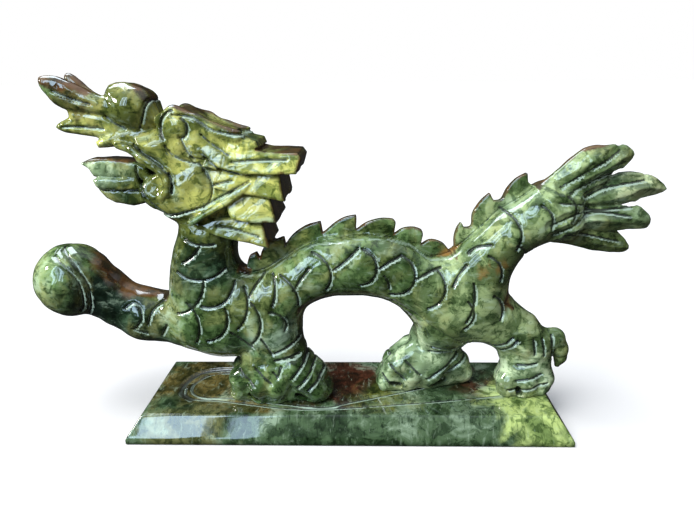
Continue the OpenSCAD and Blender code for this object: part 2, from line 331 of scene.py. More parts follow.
# Half the thickness of a crest or lobe at its outline and at its foot, and how fast it widens
CREST = (2.0, 5, 0.14)
LOBE = (1.6, 6.5, 0.75)
CREST_STAIN = (1.0, 0.75)        # how far brown skin spreads from a crest's teeth, and how much


def sculpt_body(clay):
    clay.plate(loop(BODY, 3), 0, BODY_HALF, BODY_EDGE, blend=0)
    for swelling in FLANKS:
        clay.ball(*swelling, blend=6)


def sculpt_crests(clay):
    for teeth, foot in ((DORSAL_TEETH, DORSAL_FOOT), (TAIL_TEETH, TAIL_FOOT)):
        edge = np.vstack([curve(tooth, steps=4) for tooth in teeth])
        clay.ridge(np.vstack([edge, foot]), 0, *CREST)
        clay.stain(edge, *CREST_STAIN)


def sculpt_tail_fan(clay):
    for outline, middle in FAN_LOBES:
        clay.ridge(loop(outline), middle, *LOBE)


# Head
SKULL = [
    (-97, 147), (-88, 150), (-86, 154), (-83, 157.5), (-78, 160), (-72, 159), (-66, 155.5),
    (-59, 152), (-49, 147.5), (-44, 143), (-40, 136), (-42, 124), (-48, 116), (-56, 110),
    (-66, 105), (-76, 104), (-84, 107), (-91, 112), (-97, 116), (-99, 122), (-95, 128),
    (-88, 131), (-92, 136), (-99, 142),
]
NOSE = [
    (-109, 170), (-102, 171), (-97, 169.5), (-92, 165.5), (-89, 160.5), (-87, 155.5), (-89, 150),
    (-96, 147), (-104, 149), (-110, 153), (-112.5, 158), (-112, 164),
]
UPPER_JAW = [
    (-117.5, 144.5), (-116.5, 141.5), (-109, 142.2), (-104, 142.5), (-98, 137.5), (-92, 132),
    (-86, 134), (-84, 142), (-90, 150), (-104, 151), (-113, 147.5),
]
# Half the thickness of these three slabs, and the radii of the edges of these and more
SKULL_HALF, NOSE_HALF, UPPER_JAW_HALF = 14, 10, 9
HEAD_EDGE, UPPER_JAW_EDGE, LEAF_EDGE, JAW_EDGE, LOCK_EDGE, FACET_EDGE = 8, 4, 3.6, 2.2, 1.6, 1.5
# How much thicker the leaves and the lower jaw get for each millimetre back from here
LEAF_FLARE, LEAF_ROOT = (0.03, 0), (-108, 158)
JAW_FLARE, JAW_ROOT = (0.08, 0), (-108, 128)
# Swellings of nostrils, cheeks and eyes: place, radii and blend
HEAD_BALLS = [
    (-99, 4, 160, 10.5, 9, 9.5, 2), (-75, 9, 122.5, 13, 6.5, 11, 4),
    (-76.5, 12, 151, 5.5, 3.2, 5.5, 1),
]
MOUTH_CORNER = (-91, 16, 126.5, 6, 4.5, 6.5)
# Leaves of the upper lip: an outline, its middle in Y, half its thickness and its lean
LEAVES = [
    ([(-138, 173.5), (-133, 174), (-128, 173), (-122, 170), (-114, 166), (-106, 162.5),
      (-104, 156), (-112, 156.5), (-121, 158), (-127, 158.5), (-132.5, 161.5), (-136, 165.5),
      (-138.3, 169.5)], -5, 4.6, 0.08),
    ([(-133.5, 175.5), (-129.5, 174), (-124.5, 169.5), (-119.5, 166), (-114, 163), (-108, 160),
      (-112, 156), (-122, 160), (-130, 166), (-135, 172)], 6, 4.0, -0.1),
    ([(-135, 151.3), (-132, 154), (-128.5, 156), (-127.5, 160), (-114, 158), (-106, 156),
      (-104, 148), (-109, 147), (-114, 145.8), (-117, 146.5), (-125, 147.8), (-131, 149)],
     -4, 4.2, 0.05),
    ([(-134, 152), (-131, 155), (-122, 155.5), (-112, 154), (-106, 152), (-108, 147),
      (-116, 146.5), (-126, 149)], 6, 4.0, -0.08),
]
LIP_ROLL = [
    (-106, 8, 143.5, 2), (-98, 10.5, 141, 2.4), (-93.5, 12.5, 137.5, 2.5), (-88, 14, 134, 2.5),
    (-84, 14.5, 131, 2.4), (-82, 15, 127, 2.4), (-83, 14.5, 122.5, 2.2), (-86.5, 13.5, 119.5, 1.8),
]
BROW = [
    (-84, 7, 153.5, 4), (-78, 9.5, 156.5, 4.2), (-68, 10, 153, 4), (-60, 10, 149, 4),
    (-50, 11, 146.5, 3.5),
]
# Lower jaw: an outline and half its thickness
JAW_BANDS = [
    ([(-127, 134.3), (-122.5, 136.3), (-113, 136.8), (-100, 135.5), (-94, 133), (-92, 126),
      (-102, 127), (-112, 127.3), (-121, 128), (-123, 131.5)], 7.5),
    ([(-121.7, 126.6), (-118.5, 128.2), (-100, 128), (-94, 122), (-104, 121.8), (-118.5, 122),
      (-120.5, 123.7)], 8.5),
    ([(-120.3, 122), (-105, 122.2), (-96, 122), (-95, 116), (-103.5, 114), (-112, 115.3),
      (-116.5, 117.5)], 6.5),
]
# Locks of the mane: an outline, half the thickness at its lower edge, that edge's height,
# and how much thinner it is for each millimetre up
LOCKS = [
    ([(-72, 155), (-62, 151.5), (-51.7, 148.3), (-41.3, 145), (-40, 142), (-53.4, 138.5),
      (-62, 137), (-72, 138), (-76, 146)], 15.5, 138, 0.3),
    ([(-60, 143), (-46.6, 140.7), (-42, 141.5), (-37, 140.3), (-22.3, 139.8), (-20.5, 137),
      (-22.7, 130.5), (-37.3, 130.5), (-47, 130.5), (-57, 132.5), (-66, 134)], 18.5, 131, 0.35),
    ([(-64, 132), (-47, 131.3), (-31, 130.8), (-28.5, 118), (-43.3, 121), (-50, 121.5),
      (-62, 124)], 18, 119, 0.3),
    ([(-58, 119), (-49, 121.5), (-36, 119.5), (-32.5, 108), (-41, 107.8), (-54, 109.5)],
     18, 108, 0.3),
    ([(-71.5, 106.5), (-64, 109.5), (-53, 109.7), (-40, 108.6), (-36.6, 95.6), (-49, 98.3),
      (-62, 101)], 17.5, 97, 0.3),
]
# The bright facet along the jaw, in front of the locks
JAW_FACET = [
    (-75, 109), (-61, 116.7), (-46, 127.2), (-43.6, 127.2), (-45.4, 123.2), (-50.6, 119.2),
    (-56, 115.7), (-65, 111), (-72, 107),
]
FACET_HALF, FACET_FOOT, FACET_SLOPE = 18.5, 116, 0.15

# Arm, hand and pearl
PEARL = (-143.5, 4, 73, 19, 19, 19)
LIMB_FLAT = 0.95                 # the arm and legs' depth, as a share of a round one's
ARM = [
    (-84, 3, 52, 15.5), (-98, 5, 52, 13.5), (-108, 5, 53.5, 14.3), (-120, 5, 59, 12.5),
    (-129, 5, 66, 13.5), (-136, 4, 71.5, 15.5),
]

# Legs and toes: balls from the knuckle to the point of each toe
FRONT_LEG = [(-40, -4, 46, 14.5), (-38, -6, 38, 13.2), (-39, -6, 29, 13.5)]
FRONT_TOES = [
    [(-46, -12, 31, 8), (-55, -12, 25, 6.5), (-56.5, -11, 17, 5.5)],
    [(-48, -3, 31, 8), (-55.5, 1, 25, 6.5), (-57, 2, 17, 5)],
    [(-41, -13, 30, 8), (-45, -15.5, 23, 6.5), (-45, -14.5, 16, 5)],
    [(-33, -13, 30, 8), (-37, -15, 22, 7), (-38, -14, 16, 5.5)],
    [(-29, -13, 32, 8), (-22, -14.5, 25, 6.5), (-17, -14, 18, 6)],
    [(-30, -4, 31, 9), (-19, -5, 25, 7), (-14.5, -5, 18, 5.5)],
    [(-31, 3, 29, 8), (-22, 5, 21, 6), (-18, 5, 17, 5)],
]
FRONT_CUFF = [(-44, -12, 37.5, 6.5), (-49.5, -9, 35, 6), (-48, -2, 34.5, 6.5)]
MIDDLE_LEG = [(49, 5, 46, 14.5), (45, 7, 38, 12.5), (43, 8, 29, 12.5)]
MIDDLE_TOES = [
    [(35, 2, 31, 8), (25, 0, 25, 6.5), (20.5, -1, 18, 5.5)],
    [(34, 11, 30, 8), (25, 12, 23, 6.5), (21, 12, 17, 5)],
    [(40, 1, 30, 8), (33.5, -1, 23, 6.5), (31, -1, 17, 5.5)],
    [(46, 1, 29, 8.5), (44, 0, 22, 7), (42.5, 1, 17, 5.5)],
    [(49, 4, 31, 8.5), (58, 5, 25.5, 6.5), (61.5, 6, 19, 5.5)],
    [(48, 12, 31, 8.5), (57, 15, 24, 6.5), (60, 16, 18, 5)],
]
REAR_LEG = [(77, -1, 53, 13), (88, -2, 47, 10.5), (95, -2, 39, 10.5), (92, -2, 29, 11)]
REAR_HEEL = [(74, -1, 47, 7), (82, -2, 40.5, 6), (86, -2, 32, 7)]
REAR_TOES = [
    [(88, -5, 26, 8), (83.5, -6, 20.5, 6.3), (83, -6, 17, 5.8)],
    [(92, -6, 27, 8), (91.5, -8, 20, 6.5), (91, -7.5, 17, 5.5)],
    [(97, -4, 29, 8), (100.5, -5, 22, 6.5), (101, -3, 18, 5.8)],
    [(96, 2, 27, 8), (96, 4, 19, 6.5), (95, 4, 17, 5.5)],
    [(88, 2, 26, 8), (85, 4, 19, 6), (85, 4, 17, 5.5)],
]
REAR_SPUR = [(98, -2, 42, 7), (106, -2, 42.5, 5.6), (109.5, -2, 37, 4.6), (110.5, -2, 31.5, 3),
             (109.5, -2, 27.5, 1.4)]
PAW_EDGE, PAW_TAPER, PAW_FOOT = 6, -0.12, 20
# Blocks the toes stand out of: outline, middle in Y, half their depth, lean and pivot along X
PAWS = [
    ([(-25, 42), (-22, 37.5), (-18, 32), (-14, 27), (-11.5, 22), (-11.5, 12), (-58, 12),
      (-59, 20), (-57.5, 26), (-55, 31.5), (-49.5, 34), (-43, 36)], -5, 11.5, 0, 0),
    ([(38, 41), (35.5, 36.5), (31, 31.5), (24, 27.5), (18, 23), (17, 12), (62, 12), (64, 18),
      (62, 24), (58, 31), (57, 38)], 8, 10.5, 0.2, 40),
    ([(84, 40), (82, 31), (79.5, 24), (80, 12), (103, 12), (104.5, 20), (104, 28), (105, 40)],
     -1.5, 9, 0, 0),
]


def both_sides(clay, balls, blend):
    for side in (-1, 1):
        clay.chain([(x, side * y, z, r) for x, y, z, r in balls], blend=blend)


def sculpt_head(clay):
    clay.plate(loop(SKULL), 0, SKULL_HALF, HEAD_EDGE, blend=3)
    clay.plate(loop(NOSE), 0, NOSE_HALF, HEAD_EDGE, blend=2)
    for side in (-1, 1):
        for x, y, z, *radii, blend in HEAD_BALLS:
            clay.ball(x, side * y, z, *radii, blend=blend)
    both_sides(clay, BROW, 1.5)
    clay.plate(UPPER_JAW, 0, UPPER_JAW_HALF, UPPER_JAW_EDGE, blend=1.5)
    both_sides(clay, LIP_ROLL, 0.8)
    clay.dig(*MOUTH_CORNER)


def sculpt_leaves(clay):
    for outline, y0, half, lean in LEAVES:
        clay.plate(loop(outline), y0, half, LEAF_EDGE, blend=1.5, lean=lean,
                   tilt=LEAF_FLARE, pivot=LEAF_ROOT)


def sculpt_lower_jaw(clay):
    for outline, half in JAW_BANDS:
        clay.plate(outline, 0, half, JAW_EDGE, blend=0.6, tilt=JAW_FLARE, pivot=JAW_ROOT)


def sculpt_mane(clay):
    for outline, half, foot, slope in LOCKS:
        clay.plate(outline, 0, half, LOCK_EDGE, blend=0.5, tilt=(0, -slope), pivot=(0, foot))
    clay.plate(JAW_FACET, 0, FACET_HALF, FACET_EDGE, blend=0.5, tilt=(0, -FACET_SLOPE),
               pivot=(0, FACET_FOOT))


def sculpt_arm(clay):
    clay.chain(ARM, flat=LIMB_FLAT, blend=5)


def sculpt_pearl(clay):
    clay.ball(*PEARL, blend=2.5)


def sculpt_legs(clay):
    for leg, toes in zip((FRONT_LEG, MIDDLE_LEG, REAR_LEG), (FRONT_TOES, MIDDLE_TOES, REAR_TOES)):
        clay.chain(leg, flat=LIMB_FLAT, blend=4)
        for toe in toes:
            clay.chain(toe, blend=1.6)
    for outline, y0, half, lean, pivot in PAWS:
        clay.plate(loop(outline), y0, half, PAW_EDGE, blend=2, lean=lean,
                   tilt=(0, PAW_TAPER), pivot=(pivot, PAW_FOOT))
    clay.chain(FRONT_CUFF, blend=1.2)
    clay.chain(REAR_HEEL, blend=2)
    clay.chain(REAR_SPUR, flat=0.9, blend=1.5)


# ---- lines ground into the stone ----

# Scales of the flank as parts of circles: centre x and z, radius, first and last angle
SCALES = [
    (-19, 81, 11, 81, -41), (5, 85, 9, 77, -84), (22.5, 81, 10, 64, -102), (36, 75, 11, 50, -74),
    (34, 71.5, 27, 13, -30), (63.5, 81, 10.5, 71, -16), (69, 100, 12.5, 70, -30),
    (86.5, 106.5, 9, 67, -17), (66, 62, 10, 62, -25), (52, 62, 9, 50, -60),
    (78, 88, 8, 75, -20), (98, 112, 8, 60, -40), (-86, 104, 17.5, -28, -68),
    (-72, 96, 17, -129, -46), (-87, 78, 17, 1, -82), (-68, 78, 12.5, -3, -107),
    (-90, 55, 16.5, 49, -33), (-72, 60, 13, 23, -83), (-67, 67, 18, 25, -46),
    (-58, 57, 15, 46, -48), (-56.5, 73.5, 21, 19, -21), (-38, 68, 13.5, 68, -11),
    (-38.5, 55, 7.5, 90, -20), (-67, 120, 23.5, -117, -82),
]
FLANK_LINES = [
    [(-43, 49), (-38, 41)], [(-58, 52.5), (-48, 44)], [(-7, 84), (-1, 88.5), (5, 94)],
    [(15.5, 85), (20, 88), (26, 90.5)], [(33, 79.5), (39.5, 82.5), (45, 84)],
    [(50.5, 76), (53, 81), (57, 86)], [(17.5, 81), (19.5, 78), (20, 74.5)],
    [(58, 91), (62, 94.5), (68, 96)],
    [(-26.5, 73.5), (-23, 79), (-18.5, 85)], [(-48.5, 70), (-45.5, 75), (-41.5, 80)],
]
# The raised edge from the belly round the haunch to the hind leg
HAUNCH_LINE = [(22, 68.5), (33, 62.5), (40.5, 57), (51.5, 50.5), (60.5, 44.5)]
# The line under the crest, from the neck to the tail fan
SPINE_LINE = [
    (-54, 80), (-48, 79), (-41, 81), (-33.5, 86), (-24, 92), (-16, 95.5), (-7, 96.5), (5.5, 98),
    (18, 97.5), (29.5, 94), (35, 90), (40.5, 87.5), (50, 89), (57.5, 95.5), (64.5, 102),
    (71.5, 109.5), (79.5, 114.5), (88.5, 121),
]
FAN_RIBS = [
    [(99.5, 122), (112.5, 130), (126.5, 139)], [(103.5, 119.5), (118, 126.5), (126.5, 129)],
    [(110, 115.5), (123, 121.5), (141, 124.5)],
    [(98, 116), (110, 114.5), (116, 111), (136, 112)],
    [(97, 100.5), (110.5, 108), (120, 110), (134.5, 108)],
    [(104.5, 100), (116.5, 98.5), (132.5, 94.5)], [(94.5, 105.5), (105.5, 110.5), (116, 111)],
]
FACE_LINES = [
    [(-88.5, 165), (-91, 161), (-93, 155), (-95, 151)],
    [(-110.5, 156), (-106, 152.5), (-102, 150.5)],
    [(-98, 143.6), (-93.3, 139.6), (-87.6, 136), (-83.8, 132.7), (-80.5, 128), (-81, 122)],
    [(-99, 133), (-98, 126), (-94, 119), (-88, 113), (-84, 110.5)],
    [(-91, 112.5), (-84, 110.5), (-71, 114), (-65, 116.5), (-55.5, 121.5), (-45, 127)],
    [(-66, 132), (-62.5, 126), (-63.5, 119), (-67, 115)],
    [(-78, 157), (-68.5, 155.5), (-62, 151), (-54, 148.5), (-47.5, 148)],
    [(-82.5, 143), (-79, 139), (-74, 136.5), (-68, 135)],
    [(-75.5, 147), (-72.5, 141), (-69.5, 137)], [(-62.5, 125), (-58, 126.5), (-52.5, 127.5)],
    [(-65.5, 148), (-61, 144), (-53.5, 139)], [(-66.5, 140), (-57.5, 133), (-49, 131)],
    [(-67.5, 135), (-64, 130.5), (-62.5, 125.5)],
    [(-132, 167.5), (-124, 164), (-116, 161.5)], [(-131, 151.5), (-122, 151.5), (-112, 150.5)],
    [(-61.5, 105.5), (-51.5, 104), (-41.5, 101)], [(-52, 136), (-40, 137), (-27, 137)],
]
FACE_RINGS = [(-76.5, 151, 5, -60, 60), (-76.5, 151, 7.8, 100, 215)]
# Where the hand meets the pearl
PEARL_RING = [
    (-137.3, 59.4), (-133.6, 64), (-132.6, 72.5), (-134.8, 79.3), (-139.3, 84.2), (-146, 88.6),
]
ARM_LINES = [
    PEARL_RING[::-1],
    [(-143.7, 91), (-136.5, 85.8), (-131.9, 79.5), (-129.6, 72.5), (-130.6, 63), (-134.3, 57.4)],
    [(-113.8, 61.2), (-110.3, 63.5), (-106.3, 61.2), (-105.4, 55.4), (-109.8, 50.1)],
    [(-102.5, 52.5), (-100, 59.5), (-95.3, 63.5)], [(-96, 46.6), (-92.1, 53.1)],
    [(-110.9, 50.1), (-104, 47)],
]
PAW_LINES = [
    [(-54.7, 31.5), (-47.3, 24.6)], [(-46.4, 33.7), (-38.6, 25.9)],
    [(-28.8, 28.1), (-19.6, 39.3)], [(-25.9, 23.3), (-17.1, 33.3)], [(-20.5, 22), (-11.7, 29.5)],
    [(-36.8, 41.4), (-30.9, 43.5), (-25.1, 46.5)], [(-36.9, 37.6), (-24.9, 39.3)],
    [(-33.6, 34.6), (-35.4, 29), (-37.6, 32)],
    [(22, 28.2), (28.9, 20.7)], [(17.9, 22.6), (23.1, 16.9)], [(29.5, 31), (37.2, 23.6)],
    [(41, 20.8), (56.7, 32.9)], [(45.8, 17.9), (61, 30.2)],
    [(42.4, 41.1), (53.1, 39.3), (56.5, 37.5)], [(41.7, 36.6), (53.3, 36.6)],
    [(85.8, 31.6), (95.3, 33)], [(85.6, 23.4), (98.3, 27.1)], [(82, 17.8), (102.1, 21.6)],
    [(92.9, 46), (94.1, 37.9)], [(97.7, 46), (99, 37)], [(103.3, 46), (104.5, 33.5)],
    [(74.6, 41.4), (82.1, 47.6)], [(78, 38.8), (84.6, 45.9)],
]
# Deep cuts between the toes, just above the plinth
TOE_GAPS = [
    [(-50, 17.5), (-46.5, 15.5)], [(-26, 17), (-21, 15.5)], [(22.5, 18), (27, 16.5)],
    [(45, 16), (50, 18)], [(87, 19), (88.5, 15.5)],
]
# Brown skin: lines and how far it spreads
STAINS = [
    ([(-97, 171), (-90, 163)], 2), ([(-138, 173), (-128, 169)], 3),
    ([(-135, 176), (-128, 173), (-118, 167)], 3),
    ([(-41, 141.5), (-22, 140)], 1.2), ([(-20, 138), (-21.5, 132)], 2.2),
    ([(-29.5, 130), (-28, 119)], 2.6), ([(-34, 118), (-32, 109)], 2.6),
    ([(-38, 107), (-36, 97)], 2.6), ([(-126, 135.5), (-113, 136.8), (-101, 135.5)], 1.5),
    ([(-130, 92), (-126, 86), (-120, 77), (-112, 69)], 5),
    ([(-112, 69), (-100, 67), (-94, 66)], 2.5), ([(-79, 162), (-66, 157.5), (-50, 150)], 2.2),
    ([(90, 122), (98, 130), (108, 139), (121, 142)], 1.2),
    ([(82, 62), (77, 66), (79, 70)], 1.2), ([(82, 80), (80, 74)], 1.2),
    ([(-54, 82), (-50, 80)], 2),
]


def carve_all(clay, lines, wheel):
    for line in lines:
        clay.carve(curve(line, steps=3), wheel)


def carve_lines(clay):
    for scale in SCALES:
        clay.carve(arc(*scale), "scale")
        clay.shingle(*scale)
    for ring in FACE_RINGS:
        clay.carve(arc(*ring, points=20), "scale")
    carve_all(clay, FLANK_LINES, "scale")
    carve_edges(clay)
    carve_all(clay, FAN_RIBS, "rib_hollow")
    carve_all(clay, FAN_RIBS, "rib")
    carve_all(clay, FACE_LINES + ARM_LINES, "face")
    for line in PAW_LINES:
        clay.carve(line, "paw")
    for line in TOE_GAPS:
        clay.carve(line, "toe_gap")
    for line, width in STAINS:
        clay.stain(line, width)


# The raised edges: the line, its shift, width and height, the shift of the cut beside it, and
# the wheel that cuts it
EDGES = [
    (SPINE_LINE, (0.7, -1.5), 1.3, 0.5, (0, 0), "spine"),
    (HAUNCH_LINE, (0, 0), 1.6, 0.6, (-0.8, -1.5), "haunch"),
]


def carve_edges(clay):
    """The edges under the crest and round the haunch."""
    for line, shift, width, height, _, _ in EDGES:
        clay.raise_bead(curve(line, steps=3) + shift, width, height)
    for line, _, _, _, shift, wheel in EDGES:
        clay.carve(curve(line, steps=3) + shift, wheel)


# Unevenness of the ground stone: radians per millimetre along X, Y and Z, and height
WAVES = [
    (0.31, 0.13, 0.27, 0.09), (-0.22, 0.3, 0.36, 0.09), (0.47, -0.2, -0.35, 0.06),
    (0.62, 0.41, 0.5, 0.04), (-0.7, 0.3, 0.66, 0.03),
]
BEND = 2                         # how far the waves wander from straight rows


def grind_facets(clay):
    """Shallow flats left by the grinding wheel all over the stone."""
    x = (np.arange(clay.shape[0]) + clay.start[0])[:, None, None] * STEP
    y = (np.arange(clay.shape[1]) + clay.start[1])[None, :, None] * STEP
    z = (np.arange(clay.shape[2]) + clay.start[2])[None, None, :] * STEP
    for u, v, w, size in WAVES:
        wave = np.sin(u * x + v * y + w * z + BEND * np.sin(0.11 * x - 0.09 * z))
        clay.d += (size * wave).astype(np.float32)


# ---- cutting the block into sections ----

# Cuts between neighbours, in side view
HAND_CUT = [(-140, 40), *PEARL_RING, (-148, 100)]
SHOULDER_CUT = [(-95, 100), (-92, 72), (-89, 64), (-91, 54), (-96, 46), (-98, 20)]
LIP_CUT = [(-110.5, 190), (-110.5, 165), (-106, 161.5), (-104.5, 156), (-105, 150), (-109, 147),
           (-118, 145.6), (-150, 140)]
JAW_CUT = [(-150, 138), (-101, 138), (-98.5, 134.5), (-98.5, 126), (-99, 118), (-101, 112)]
MANE_CUT = [(-47, 165), (-52, 148), (-56, 138), (-57, 132), (-61, 125), (-58, 119), (-70, 111),
            (-73, 106.5)]
THROAT_CUT = [(-73, 106.5), (-62, 101), (-49, 98.3), (-40, 92)]
LOIN_CUT = [(35, 90), (36, 82), (34, 72), (33, 62.5), (30, 50)]
FORELEG_CUT = [(-15, 50), (-20, 44), (-60, 44), (-62, 36), (-64, 20)]
THIGH_CUT = [(30, 43), (66, 43), (70, 41)]
RUMP_CUT = [(50, 89), (64, 82), (90, 76)]
FAN_CUT = [(110, 90), (98, 96), (96, 104), (97, 113), (88.5, 121)]
TO_LOIN, TO_TAIL = 11, 12        # points of the spine line up to the loin and before the tail
# Each section's node, slot and share of the side view
SECTIONS = {
    "jade_pearl": ("pearl", "pearl_jade", [(-180, 40), *HAND_CUT, (-180, 100)]),
    "jade_arm": ("reaching_arm", "body_jade", [*HAND_CUT, *SHOULDER_CUT, (-140, 20)]),
    "jade_lips": ("lip_flourish", "head_jade", [(-150, 190), *LIP_CUT]),
    "jade_lower_jaw": ("lower_jaw", "head_jade", [*JAW_CUT, (-150, 105)]),
    "jade_mane": ("mane", "mane_jade", [(-10, 165), *MANE_CUT, *THROAT_CUT[1:], (-10, 92)]),
    "jade_head": ("head", "head_jade", [
        *LIP_CUT, *JAW_CUT, (-98, 106.5), *MANE_CUT[::-1], (-47, 190)]),
    "jade_neck": ("neck", "body_jade", [
        (-98, 106.5), *THROAT_CUT, (-53, 84), (-93, 84), (-95, 100)]),
    "jade_dorsal_crest": ("dorsal_crest", "crest_jade", [
        (-53, 84), *SPINE_LINE[:TO_TAIL + 1], (51.5, 112), (0, 125), (-30, 115), (-40, 92)]),
    "jade_tail_crest": ("tail_crest", "crest_jade", [
        *SPINE_LINE[TO_TAIL:], (94, 127), (90, 135), (60, 135), (51.5, 112)]),
    "jade_torso": ("torso", "body_jade", [
        (-53, 84), *SPINE_LINE[:TO_LOIN], *LOIN_CUT[1:], *FORELEG_CUT, *SHOULDER_CUT[::-1],
        (-93, 84)]),
    "jade_hindquarters": ("hindquarters", "hind_jade", [
        *LOIN_CUT, *THIGH_CUT, (85, 54), (95, 60), *RUMP_CUT[::-1], (40.5, 87.5)]),
    "jade_tail": ("tail", "hind_jade", [
        *RUMP_CUT, *FAN_CUT, *SPINE_LINE[-2:TO_TAIL:-1]]),
    "jade_tail_fan": ("tail_fan", "tail_jade", [
        *FAN_CUT, (94, 127), (95, 150), (165, 150), (165, 80), (115, 80)]),
    "jade_front_foreleg": ("front_foreleg", "body_jade", [
        *FORELEG_CUT, (-64, 0), (0, 0), (0, 50)]),
    "jade_middle_hindleg": ("middle_hindleg", "hind_jade", [
        (30, 50), *THIGH_CUT, (72, 30), (72, 0), (0, 0), (0, 50)]),
    "jade_rear_hindleg": ("rear_hindleg", "hind_jade", [
        *THIGH_CUT[1:], (85, 54), (95, 60), (130, 60), (130, 0), (72, 0), (72, 30)]),
}
JOIN = 0.6                       # how far a section reaches under its neighbour
TUCK = 0.15                      # how deep it lies there
TUCK_SLOPE = 0.3                 # how far from the cut it has sunk to that depth
PAD = 3                          # grid points kept round a section


def section_fields(clay):
    """Yields each section's name, the distances inside its own window, and where that is."""
    x = (np.arange(clay.shape[0]) + clay.start[0])[:, None] * STEP
    z = (np.arange(clay.shape[2]) + clay.start[2])[None, :] * STEP
    reach = {name: outline_distance(x, z, np.array(row[2], float))
             for name, row in SECTIONS.items()}
    for name, own in reach.items():
        others = np.min([r for n, r in reach.items() if n != name], axis=0)
        claim = ((own - others) / 2)[:, None, :]
        inside = np.argwhere((claim[:, 0] < JOIN) & (clay.d.min(axis=1) < 1))
        low = np.maximum(inside.min(0) - PAD, 0)
        high = inside.max(0) + PAD + 1
        part = (slice(low[0], high[0]), slice(None), slice(low[1], high[1]))
        tuck = TUCK * np.clip(claim[part] / TUCK_SLOPE, 0, 1)
        field = np.maximum(clay.d[part] + tuck, claim[part] - JOIN)
        yield name, field, clay.start + np.array([low[0], 0, low[1]])


BLOCK = ([-172, -27, PLINTH_TOP - 3], [160, 27, 182])         # corners of the block of clay


def sculpt_dragon():
    clay = Clay(*BLOCK)
    for job in (sculpt_body, sculpt_head, sculpt_mane, sculpt_leaves, sculpt_lower_jaw,
                sculpt_arm, sculpt_pearl, sculpt_legs, sculpt_crests, sculpt_tail_fan,
                carve_lines, grind_facets):
        job(clay)
    clay.d += clay.cut[:, None, :]
    z = (np.arange(clay.shape[2]) + clay.start[2]) * STEP
    clay.d = np.maximum(clay.d, (PLINTH_TOP - z)[None, None, :].astype(np.float32))
    return clay


def new_object(name, data):
    thing = bpy.data.objects.new(name, data)
    bpy.context.scene.collection.objects.link(thing)
    return thing


def new_piece(name, points, faces):
    """A smooth mesh from an array of points in metres and an array of faces of one size."""
    faces = np.asarray(faces, np.int32)
    mesh = bpy.data.meshes.new(name)
    mesh.vertices.add(len(points))
    mesh.vertices.foreach_set("co", np.asarray(points, np.float32).ravel())
    mesh.loops.add(faces.size)
    mesh.loops.foreach_set("vertex_index", faces.ravel())
    mesh.polygons.add(len(faces))
    mesh.polygons.foreach_set("loop_start", np.arange(0, faces.size, faces.shape[1]))
    mesh.update(calc_edges=True)
    mesh.polygons.foreach_set("use_smooth", np.ones(len(faces), bool))
    return new_object(name, mesh)


def mark(piece, name, values):
    """Keeps a value for each point of a piece, for its material."""
    layer = piece.data.attributes.new(name, "FLOAT", "POINT")
    layer.data.foreach_set("value", np.asarray(values, np.float32))


def to_mesh(title, field, start, clay):
    """A piece from a grid of distances."""
    grid = openvdb.FloatGrid(FAR)
    grid.copyFromArray(np.ascontiguousarray(field, dtype=np.float32))
    points, quads = grid.convertToQuads(0.0)
    places = points + start
    piece = new_piece(title, places * STEP * 0.001, quads[:, ::-1])
    nearest = np.rint(places - clay.start).astype(int)
    nearest = np.clip(nearest, 0, np.array(clay.shape) - 1)
    # painted shade, painted glint and brown skin of the nearest place in side view
    for name in ("wax", "rim", "shade", "skin"):
        mark(piece, name, getattr(clay, name)[nearest[:, 0], nearest[:, 2]])
    return piece


# ---- plinth ----

PLINTH_STEP = 0.5                # distance between two points of its top
EDGE_H = 3.0                     # height of the upright edge under the bevel
BEVEL = 7.0                      # how far the bevel comes in
WORN = 0.8                       # how far its edges are rounded by wear
ARRIS = 0.4                      # how much lower the bevel ends at the very rim
CHAMFER = 0.5                    # along the edge of the underside
# Engraved lines of the top: half the width, depth and the places
PLINTH_LINES = [
    (2.2, 0.9, [(-60, 18.5), (-77, 17.5), (-86, 12), (-90, 1), (-89, -8), (-82, -14)]),
    (0.9, 0.8, [(-88, -2), (-86, -9), (-79, -13.5), (-68, -14.5), (-50.5, -18), (-29.5, -22),
                (-4.5, -21.5), (18.5, -18.5), (47, -14.5), (79, -8.5)]),
    (0.9, 0.8, [(-60, 14.5), (-75, 13.5), (-82, 8), (-85, 0), (-83, -7), (-76, -11.5),
                (-62, -12), (-54.5, -13.5), (-15.5, -20.5), (0.5, -16), (19, -9), (43.5, 0.5),
                (66.5, 9.5)]),
]


def plinth_surface(x, y, high):
    """Height, depth of the engraved lines and a painted glint along one edge of each, for a grid of
    places.
    """
    edge_x, edge_y = high[0] - np.abs(x), high[1] - np.abs(y)
    slope = (high[2] - EDGE_H) / BEVEL
    z = smooth_min(EDGE_H + slope * edge_x, EDGE_H + slope * edge_y, WORN)
    z = smooth_min(z, high[2] + 0 * x, WORN)
    groove, glint = np.zeros_like(z), np.zeros_like(z)
    for width, depth, line in PLINTH_LINES:
        path = curve(line, steps=4)
        groove = np.maximum(groove, depth * bowl(line_distance(x, y, path) / width))
        # a painted glint just below each line
        glint = np.maximum(glint, bowl(line_distance(x, y, path - (0, 0.7 * width + 0.5))))
    z = z - groove
    z[np.minimum(edge_x, edge_y) < 1e-6] = EDGE_H - ARRIS
    return z, groove, glint


